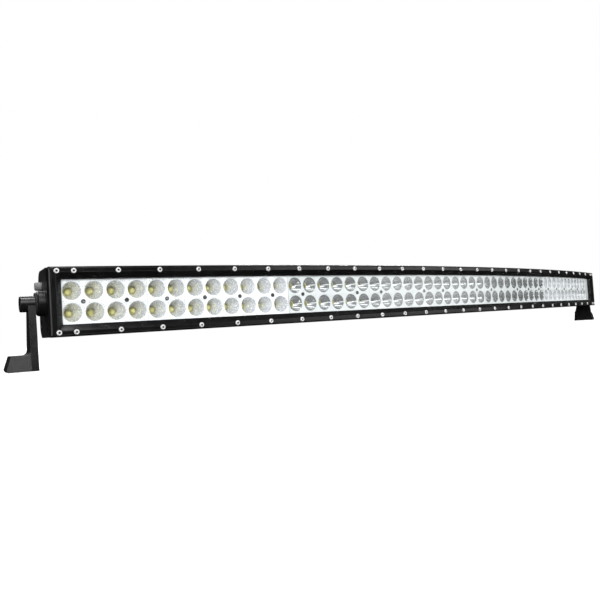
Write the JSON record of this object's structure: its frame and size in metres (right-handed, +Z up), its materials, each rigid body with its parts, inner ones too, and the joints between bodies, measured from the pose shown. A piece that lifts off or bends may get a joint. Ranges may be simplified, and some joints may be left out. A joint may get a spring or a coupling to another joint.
{
  "type": "curved led light bar",
  "caption": "Long bowed two-row LED light bar with a screwed black bezel, clear lens, reflector cups, finned housing and a swivelling foot bracket at each end.",
  "frame": {"origin": "on the mounting plane under the two feet, halfway between their bolt holes", "axes": "+X along the bar to the right seen from in front, -Y the way the light shines, +Z up"},
  "size_m": [1.4472, 0.1471, 0.116],
  "materials": {
    "black_aluminium": "black powder coat over extruded aluminium",
    "black_bezel": "semi-gloss black powder coat over cast aluminium",
    "black_cap": "semi-gloss black powder coat over cast aluminium",
    "black_bracket": "satin black powder coat over cast aluminium",
    "bright_screws": "bright stainless",
    "black_screws": "black oxide",
    "dark_steel": "dark zinc plate",
    "clear_lens": "clear polycarbonate",
    "bright_reflector": "vacuum-metallised moulding",
    "satin_strip": "satin metallised moulding",
    "board_white": "white solder mask",
    "board_green": "green solder mask",
    "led_ceramic": "white ceramic",
    "led_phosphor": "clear silicone over yellow phosphor",
    "thermal_silicone": "soft grey silicone pad",
    "black_rubber": "matt rubber",
    "grey_plastic": "moulded grey plastic",
    "black_plastic": "moulded black nylon",
    "red_insulation": "red wire insulation",
    "black_insulation": "black cable jacket",
    "ferrite": "dark grey ferrite",
    "capacitor_can": "sleeved aluminium can",
    "brass_pins": "tinned brass"
  },
  "bodies": {
    "light_bar": {"housing": "black_aluminium", "bezel": "black_bezel", "bezel_screws": "bright_screws", "lens": "clear_lens", "lens_gasket": "black_rubber", "end_cap_left": "black_cap", "end_cap_right": "black_cap", "end_cap_gasket_left": "black_rubber", "end_cap_gasket_right": "black_rubber", "end_cap_screws": "black_screws", "breather_valve": "grey_plastic", "flood_reflectors_left": "bright_reflector", "flood_reflectors_right": "bright_reflector", "spot_reflectors": "bright_reflector", "blanking_strip": "satin_strip", "reflector_screws": "black_screws", "led_boards": "board_white", "led_bodies": "led_ceramic", "led_domes": "led_phosphor", "thermal_pads": "thermal_silicone", "board_jumpers": "red_insulation", "feed_wire_red": "red_insulation", "feed_wire_black": "black_insulation", "wire_grommet": "black_rubber", "driver_boards": "board_green", "driver_inductors": "ferrite", "driver_capacitors": "capacitor_can", "driver_chips": "black_plastic", "driver_pads": "thermal_silicone", "cable_gland": "black_plastic", "gland_nut": "black_plastic", "gland_seal": "black_rubber", "supply_cable": "black_insulation", "power_plug": "black_plastic", "plug_pins": "brass_pins", "rubber_washers": "black_rubber", "pivot_bolt_left": "dark_steel", "pivot_bolt_right": "dark_steel", "flat_washers": "bright_screws", "spring_washers": "bright_screws"},
    "left_bracket": {"bracket_left": "black_bracket"},
    "right_bracket": {"bracket_right": "black_bracket"}
  },
  "joints": [
    {"name": "left_bracket_swivel", "type": "hinge", "parent": "light_bar", "child": "left_bracket", "pos_m": [-0.68757, -0.01041, 0.076], "axis": [-0.9735, 0.2286, 0], "range_deg": [-90, 90]},
    {"name": "right_bracket_swivel", "type": "hinge", "parent": "light_bar", "child": "right_bracket", "pos_m": [0.68757, -0.01041, 0.076], "axis": [0.9735, 0.2286, 0], "range_deg": [-90, 90]}
  ]
}
